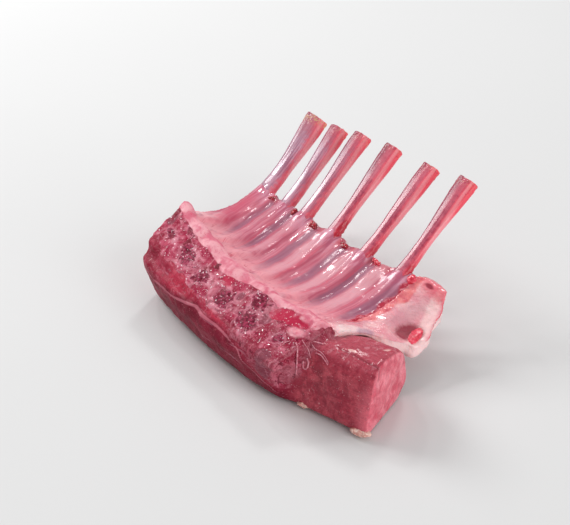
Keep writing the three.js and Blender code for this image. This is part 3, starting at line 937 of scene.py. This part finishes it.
def loin_finish():
    """Dark moist lean meat, pinker on the cut end, with silver streaks on the side."""
    finish = Finish("loin", **{**WET, "Coat_Roughness": 0.15, "Specular_IOR_Level": 0.1})
    grain = finish.noise(1.5, distortion=0.5)
    fine = finish.noise(0.9)
    clouds = finish.noise(10.0, distortion=0.4)
    fibres = finish.flow(1.2, 14)
    side = finish.mix(clouds.between(0.35, 0.65), srgb(114, 10, 38), srgb(144, 28, 56))
    mottles = finish.noise(6.0, distortion=1.0).between(0.35, 0.7)
    bare = finish.marked("bare")
    finish.colour = finish.mix(bare, side, finish.mix(mottles, srgb(152, 36, 58), srgb(192, 72, 88)))
    upper = finish.mix(clouds.between(0.4, 0.6), srgb(150, 26, 54), srgb(176, 52, 78))
    upper = finish.mix(finish.marked("patch"), upper, srgb(206, 58, 84))
    finish.paint(finish.marked("upper") * 0.9, upper)
    finish.paint(finish.marked("joined").between(0.3, 0.7), tissue(finish))
    silver = finish.flow(2.0, 34).between(0.62, 0.7) * (1 - bare)
    finish.paint(silver * 0.45, srgb(196, 128, 146))
    finish.paint(finish.marked("top") * 0.7, srgb(184, 72, 90))
    # Painted highlight: lighter pink on the side towards the corner of the cut end.
    finish.paint(finish.ragged("edge", grain, 0.8, 0.2, 1.0) * 0.7, srgb(218, 104, 120))
    film = finish.noise(6.0, distortion=2.0).between(0.55, 0.68)
    finish.paint(film * finish.marked("top") * 0.45, srgb(210, 142, 154))
    finish.paint(film * finish.marked("upper") * 0.4, srgb(214, 132, 150))
    soft = finish.noise(8.0, distortion=0.5).between(0.3, 0.7)
    end = finish.marked("end")
    finish.paint(end, finish.mix(soft, srgb(210, 76, 98), srgb(242, 138, 152)))
    dark = (grain * 0.6 + fibres * 0.4).between(0.46, 0.62) * (1 - end * 0.5)
    finish.paint(dark * 0.4, srgb(120, 16, 38))
    finish.paint((fine * 0.6 + grain * 0.4).between(0.54, 0.68) * 0.35, srgb(226, 124, 138))
    finish.paint(finish.noise(2.4, distortion=1.5).between(0.69, 0.74) * 0.6, srgb(236, 170, 176))
    # Painted highlight: tiny white glints on the bare meat.
    finish.paint(finish.noise(1.1).between(0.69, 0.73) * bare * 0.4, srgb(252, 216, 222))
    finish.paint(finish.marked("fleck").between(0.25, 0.6) * 0.8, srgb(240, 190, 186))
    finish.paint(finish.marked("crease") * 0.6, srgb(112, 22, 40))
    finish.paint(finish.marked("seam").between(0.2, 0.7) * 0.55, srgb(220, 126, 144))
    finish.feed(finish.shader.inputs["Coat Weight"], bare * 0.4 + 0.03)
    finish.surface(0.46 + grain * 0.12, grain * 0.7 + fine * 0.5 + fibres * 0.3, 0.5)
    return finish.material


finished(loin, ["loin_eye"], loin_finish())

# %% [markdown]
# ## Fat: the seam and the flap
#
# The seam is the pale layer between the loin and the rib wall. The flap hangs loose at the
# loin end. It is glossy pink on top, with an orange-red torn edge beside the last rib, a
# dark hollow, and a thick white side where it was cut. A red rim runs along that cut, with a
# white band inside it. The simple solid's outline is close but not right everywhere, so
# `grab` pulls it into shape as a sculptor's brush would.

# %% The outline of the flap
# Each pull: its place along and out and its height, its reach, and how far it moves.
PULLS = (
    ((70.5, 51.0, 17.0), 9, (3.0, -3.0, -3.0)),
    ((66.0, 73.5, 20.0), 13, (-2.4, -2.4, 0.0)),
)
CORNER_CENTRE = (54, 86, 30)  # the far corner is drawn in towards this place
CORNER_RANGE = (141, 149)  # from where on, in mm along and out together
CORNER_SHARE = 0.32  # and how much of the way


def grab(piece, centre, reach, pull):
    """Like a grab brush: moves what is within reach of a place, and most at the place."""
    points = points_of(piece)
    distance = np.linalg.norm(points - np.array(centre), axis=1)
    move_to(piece, points + (1 - ramp(distance, 0, reach))[:, None] * np.array(pull))


def round_corner(piece):
    """Draws the flap's far corner in, towards a place behind it."""
    points = points_of(piece)
    along, out = along_and_out(points)
    offset = points - np.array(place(*CORNER_CENTRE))
    near_corner = ramp(along + out, *CORNER_RANGE)[:, None]
    move_to(piece, points - offset * near_corner * (CORNER_SHARE, CORNER_SHARE, 0.0))


flap = welded_copy("flap", "fat_flap")
remesh(flap, 0.7, 26)
for (along, out, height), reach, pull in PULLS:
    grab(flap, place(along, out, height), reach, pull)
round_corner(flap)
print("the flap:", len(flap.data.vertices), "vertices")

# %% The shapes of the fat
RIM = (57.0, 90.3, 0.386)  # a place on the flap's cut edge, and the way that it faces
RIM_RISE, RIM_START = 0.55, 28  # the red rim climbs this much for each mm out, from here
# Patches of the flap: place along and out, and two half widths, in mm.
HOLLOW = ((60.5, 56.0), (6.0, 9.5))
SMALL_HOLLOW = ((49, 87), (2.6, 1.8))
SILVER, FILM, MIDDLE = ((60, 22), (4, 8)), ((57, 14), (7, 10)), ((52, 62), (6, 22))


def shape_flap(piece):
    """Gives the flap its torn edge, a lip, a hollow and soft swellings."""
    points = points_of(piece)
    along, out = along_and_out(points)
    facing = normals_of(piece)[:, 2]
    up = ramp(facing, -0.1, 0.4)
    torn_edge = FRINGE_ALONG + 2.5 + 2.2 * soft_noise(points, 7, 83)
    torn = (1 - ramp(along - torn_edge, 0, 3.5)) * ramp(out, 14, 34)
    lip = bump_at(facing, 0.55, 0.3) * up
    relief = 1.0 * soft_noise(points, 14, 80) + 0.4 * rough_noise(points, 6, 81)
    relief += 0.8 * lip
    relief += 0.5 * rough_noise(points, 3.4, 82) * torn
    hollow = spot(along, out, *HOLLOW)
    relief -= 2.4 * hollow * up
    relief -= 1.8 * (1 - ramp(along, FRINGE_ALONG - 2, FRINGE_ALONG + 0.5))
    push(piece, 0.3 + relief)
    mark(piece, "torn", torn * up)
    mark(piece, "hollow", (hollow + 0.8 * spot(along, out, *SMALL_HOLLOW)) * up)
    mark(piece, "blush", ramp(out, 74, 90) * up)
    inside = (RIM[0] - along) * math.cos(RIM[2]) + (RIM[1] - out) * math.sin(RIM[2])
    upper = ramp(points[:, 2] - RIM_RISE * (out - RIM_START), -1, 2)
    mark(piece, "rim", bump_at(facing, 0.42, 0.32) * ramp(out, 52, 66) * upper)
    band = bump_at(inside, 4, 3.5 + 1.5 * soft_noise(points, 8, 84))
    mark(piece, "band", band * ramp(along, 50, 55))
    mark(piece, "side", (1 - ramp(facing, 0.1, 0.55)) * ramp(along, 52, 60))
    for name, patch in (("silver", SILVER), ("film", FILM), ("middle", MIDDLE)):
        mark(piece, name, spot(along, out, *patch))


def fat_seam():
    """The layer of fat between the loin and the wall."""
    piece = welded_copy("seam", "fat_seam")
    push(piece, 0.5)
    remesh(piece, 0.9, 8)
    shoulder_end = ramp(-normals_of(piece)[:, 0], 0.5, 0.9)
    push(piece, 0.5 * soft_noise(points_of(piece), 9, 90) - 0.25 + 0.6 * shoulder_end)
    return piece


shape_flap(flap)
seam = fat_seam()
print("the seam reaches up to", points_of(seam)[:, 2].max().round(1), "mm")

# %% The finish of the fat


def fat_finish(name, low, high):
    """Glossy pink fat with soft clouds and a few red vessels."""
    finish = Finish(name, **{**WET, "Coat_Weight": 0.9, "Subsurface_Weight": 0.2})
    clouds = finish.noise(12.0, distortion=0.3)
    grain = finish.noise(2.0, distortion=0.6)
    finish.colour = finish.mix(clouds.between(0.35, 0.65), low, high)
    vessels = finish.noise(3.5, distortion=2.0).between(0.62, 0.68)
    finish.paint(vessels * 0.3, srgb(214, 74, 90))
    return finish, clouds, grain


def flap_finish():
    """Adds the flap's torn inner edge, its hollow, its red rim and its white cut side."""
    finish, clouds, grain = fat_finish("flap_fat", srgb(236, 156, 168), srgb(250, 198, 200))
    shreds = finish.noise(5.0).between(0.35, 0.65)
    raw = finish.mix(shreds, srgb(214, 66, 86), srgb(240, 124, 124))
    # Each layer: its mark, the noise that breaks it up, how much, where it starts and ends,
    # how much of it covers, and its colour.
    for name, noise, amount, start, end, cover, colour in (
        ("film", grain, 0.5, 0.25, 0.7, 0.8, srgb(250, 220, 220)),
        ("middle", clouds, 0.8, 0.3, 0.9, 0.6, srgb(206, 140, 154)),
        ("silver", grain, 0.5, 0.3, 0.8, 0.7, srgb(180, 136, 160)),
        ("band", clouds, 0.5, 0.3, 0.8, 0.8, srgb(255, 212, 212)),
        ("blush", grain, 0.6, 0.3, 1.0, 0.75, srgb(230, 88, 106)),
        ("side", clouds, 0.3, 0.3, 0.7, 0.9, srgb(255, 214, 214)),
        ("rim", grain, 0.4, 0.35, 0.8, 0.85, srgb(232, 66, 88)),
        ("torn", clouds, 0.8, 0.2, 0.9, 0.8, raw),
        ("hollow", grain, 0.3, 0.2, 0.6, 0.9, srgb(146, 16, 50)),
    ):
        finish.paint(finish.ragged(name, noise, amount, start, end) * cover, colour)
    finish.surface(0.18 + clouds * 0.14, finish.noise(4.5) * 0.8 + grain * 0.3, 1.5)
    return finish.material


def seam_finish():
    """The seam's fat, with nothing added."""
    finish, clouds, grain = fat_finish("seam_fat", srgb(224, 140, 150), srgb(240, 184, 184))
    finish.surface(0.3 + clouds * 0.14, clouds * 0.5 + grain * 0.4, 0.5)
    return finish.material


finished(flap, ["fat_flap"], flap_finish())
finished(seam, ["fat_seam"], seam_finish())

# %% [markdown]
# ## Small lumps: clots, the cut muscle and scraps of fat
#
# A small clot or scrap of meat is left beside each bone, where the skin ends. The flap holds
# the bright cut end of a small muscle, and it slopes as the flap does, so the slope is
# measured there first. Two scraps of fat cling to the lower edge of the loin. Each lump
# starts as an icosphere that is stretched, made uneven, and sunk half into the meat.

# %% Helpers for lumps


def surface_height(piece, along, out):
    """The height of a piece's upper side at a place, in mm."""
    tree = BVHTree.FromObject(piece, bpy.context.evaluated_depsgraph_get())
    above = place(along, out, 200) * MM
    hit = tree.ray_cast(above, Vector((0, 0, -1)))[0]
    return hit.z / MM if hit else None


def lump(name, along, out, height, radii, turn, seed, roughness, tilt=(0.0, 0.0)):
    """An uneven lump with these half widths, turned, and sloping by tilt along x and y."""
    bpy.ops.object.select_all(action="DESELECT")
    bpy.ops.mesh.primitive_ico_sphere_add(subdivisions=5, radius=MM)
    piece = bpy.context.object
    piece.name = name
    move_to(piece, points_of(piece) * np.array(radii))
    push(piece, roughness * rough_noise(points_of(piece), min(radii) * 0.9, seed))
    points = points_of(piece)
    cosine, sine = math.cos(turn), math.sin(turn)
    x = points[:, 0] * cosine - points[:, 1] * sine
    y = points[:, 0] * sine + points[:, 1] * cosine
    turned = np.stack([x, y, points[:, 2] + tilt[0] * x + tilt[1] * y], axis=1)
    move_to(piece, turned + np.array(place(along, out, height)))
    return piece


def lump_finish(name, first, second, size):
    """Two blotched colours, very wet."""
    finish = Finish(name, **{**WET, "Coat_Weight": 0.9})
    blotches = finish.noise(size, distortion=0.8)
    finish.colour = finish.mix(blotches.between(0.35, 0.65), first, second)
    finish.surface(0.28 + blotches * 0.1, blotches, 0.3)
    return finish.material


print("top of the wall at its middle:", round(surface_height(rib_wall, 0, 40), 1), "mm")

# %% The clots
clot_material = lump_finish("clot", srgb(132, 6, 28), srgb(196, 30, 54), 2.0)
muscle_material = lump_finish("cut_muscle", srgb(206, 26, 56), srgb(240, 72, 96), 3.0)

# Each clot: its place along and out, its height, its half widths, and its turn. The last
# two are as bright as the cut muscle.
CLOTS = (
    (-97.0, 82.5, 36.4, (3.4, 1.8, 1.6), 0.3), (-72.0, 84.0, 38.6, (2.0, 3.4, 1.7), 0.2),
    (-50.2, 83.2, 39.6, (5.0, 2.2, 1.9), -0.25), (-19.0, 83.4, 39.6, (5.4, 2.0, 1.8), -0.25),
    (10.5, 84.6, 40.6, (4.6, 1.6, 1.6), -0.2), (40.2, 84.8, 40.6, (3.8, 4.4, 3.0), 0.3),
)
for number, (along, out, height, radii, turn) in enumerate(CLOTS):
    clot = lump(f"clot_{number + 1}", along, out, height, radii, turn, 100 + number, 1.2)
    finished(clot, [], clot_material if number < 4 else muscle_material)

# %% The cut muscle and the scraps of fat
MUSCLE = (63.2, 57.8)  # the place along and out of the cut muscle
MUSCLE_STEP = 2.5  # how far to each side the flap's slope is measured, in mm
middle, east, west, north, south = (
    surface_height(flap, MUSCLE[0] + dx * MUSCLE_STEP, MUSCLE[1] + dy * MUSCLE_STEP)
    for dx, dy in ((0, 0), (1, 0), (-1, 0), (0, 1), (0, -1))
)
slope = ((east - west) / (2 * MUSCLE_STEP), (north - south) / (2 * MUSCLE_STEP))
print("the flap at the cut muscle:", round(middle, 1), "mm high, slope", np.round(slope, 2))
cut_muscle = lump("cut_muscle", *MUSCLE, middle + 0.8, (3.9, 8.8, 1.7), 0.43, 120, 0.4, slope)
finished(cut_muscle, [], muscle_material)

scrap_material = lump_finish("scrap", srgb(206, 140, 130), srgb(240, 200, 186), 2.5)
SCRAPS = ((103.0, -23.6, 3.2, (6.5, 3.6, 2.2), 0.35), (62.5, -23.8, 3.0, (5.0, 2.2, 2.0), 0.5))
for number, (along, out, height, radii, turn) in enumerate(SCRAPS):
    scrap = lump(f"scrap_{number + 1}", along, out, height, radii, turn, 130 + number, 0.7)
    finished(scrap, [], scrap_material)

# %% [markdown]
# Where the backbone ends, torn threads of white tissue lie over the meat. Each thread is a
# thin bevelled curve that follows the surface. They are joined into one piece.

# %% White threads
# Each thread: the places that it passes, along and out.
THREADS = (
    ((57, -14.2), (60, -14.6), (64.7, -14.6), (69, -15.4), (72.5, -16.7)),
    ((62, -15.8), (65, -15.4), (69.5, -16.2), (72.6, -17.1)),
    ((51, -20.5), (54, -22.4), (56, -24.4)),
    ((52, -17), (55, -17.9), (57.5, -17.0), (60.5, -18.2)),
    ((56.5, -12.7), (59, -11.2), (62.5, -10.2)),
    ((57, -20.6), (59.5, -21.3), (60.3, -19.4), (58.4, -18.9)),
    ((46, -21), (44.5, -23.5), (45, -26)),
)


def thread(stops, radius):
    """A thin tube that follows the meat through these places."""
    curve = bpy.data.curves.new("thread", "CURVE")
    curve.dimensions = "3D"
    curve.bevel_depth = radius * MM
    curve.bevel_resolution = 2
    curve.resolution_u = 6
    curve.use_fill_caps = True
    spline = curve.splines.new("BEZIER")
    spline.bezier_points.add(len(stops) - 1)
    for point, (along, out) in zip(spline.bezier_points, stops):
        height = max(surface_height(piece, along, out) or 0 for piece in (loin, backbone))
        point.co = place(along, out, height + 0.15) * MM
        point.handle_left_type = point.handle_right_type = "AUTO"
    piece = bpy.data.objects.new("thread", curve)
    bpy.context.scene.collection.objects.link(piece)
    use_only(piece)
    bpy.ops.object.convert(target="MESH")
    return bpy.context.object


threads = [thread(stops, 0.3 + 0.14 * (number % 3)) for number, stops in enumerate(THREADS)]
white_threads = threads[0]
white_threads.name = "white_threads"
join_to(white_threads, threads[1:])
thread_material = lump_finish("thread", srgb(192, 92, 112), srgb(224, 150, 164), 2.0)
finished(white_threads, [], thread_material)

# %% [markdown]
# ## Floor, light and camera
#
# The floor is plain and pale. A large soft light stands behind the rack on the left, and its
# reflection makes the long streaks on the bones. A wider one fills in from the right, at
# about the same strength. Two small weak lights make the sharp glints of wet meat. The
# camera looks down on the loin end from the backbone's side.

# %% The floor
bpy.ops.object.select_all(action="DESELECT")
bpy.ops.mesh.primitive_plane_add(size=6, location=(0, 0, -0.0004))
floor = bpy.context.object
floor.name = "floor"
floor_finish = Finish("floor", Roughness=0.8)
pale = floor_finish.mix(floor_finish.noise(400), srgb(218, 218, 218), srgb(221, 221, 221))
floor_finish.feed(floor_finish.shader.inputs["Base Color"], pale)
floor.data.materials.append(floor_finish.material)
print("the floor is", tuple(round(side, 1) for side in floor.dimensions[:2]), "m")

# %% The lights
LOOK_AT = Vector((9.5, -35.2, 51.0)) * MM
LIGHT_DISTANCE = 2.6  # metres


def soft_light(name, direction, size, power):
    """A square area light that faces the rack."""
    light = bpy.data.lights.new(name, "AREA")
    light.size = size
    light.energy = power
    lamp = bpy.data.objects.new(name, light)
    bpy.context.scene.collection.objects.link(lamp)
    lamp.location = LOOK_AT + Vector(direction).normalized() * LIGHT_DISTANCE
    lamp.rotation_euler = (LOOK_AT - lamp.location).to_track_quat("-Z", "Y").to_euler()


# Each light: the direction that it stands in, its size in metres, and its power in watts.
soft_light("key", (-0.82, -0.15, 0.55), 1.1, 42)
soft_light("side", (0.95, 0.1, 0.4), 2.0, 34)
soft_light("spark", (-0.67, 0.16, 0.71), 0.2, 5)
soft_light("glint", (-0.42, 0.54, 0.72), 0.4, 10)

world = bpy.data.worlds.new("studio")
world.use_nodes = True
background = world.node_tree.nodes["Background"].inputs
background["Color"].default_value = (1, 1, 1, 1)
background["Strength"].default_value = 0.46
bpy.context.scene.world = world
bpy.context.scene.view_settings.view_transform = "Standard"
print("lights:", [light.name for light in bpy.data.lights])

# %% The camera
AZIMUTH, ELEVATION = math.radians(51.34), math.radians(30.22)
DISTANCE = 767.3  # mm
away = Vector((
    math.sin(AZIMUTH) * math.cos(ELEVATION),
    -math.cos(AZIMUTH) * math.cos(ELEVATION),
    math.sin(ELEVATION),
))
camera_data = bpy.data.cameras.new("camera")
camera_data.sensor_width = 36
camera_data.lens = 75.79
camera_data.shift_x = -0.0013
camera_data.shift_y = 0.0029
camera = bpy.data.objects.new("camera", camera_data)
bpy.context.scene.collection.objects.link(camera)
camera.location = LOOK_AT + away * DISTANCE * MM
camera.rotation_euler = (-away).to_track_quat("-Z", "Y").to_euler()
bpy.context.scene.camera = camera
print("the camera stands", round(camera.location.z, 2), "m above the floor")
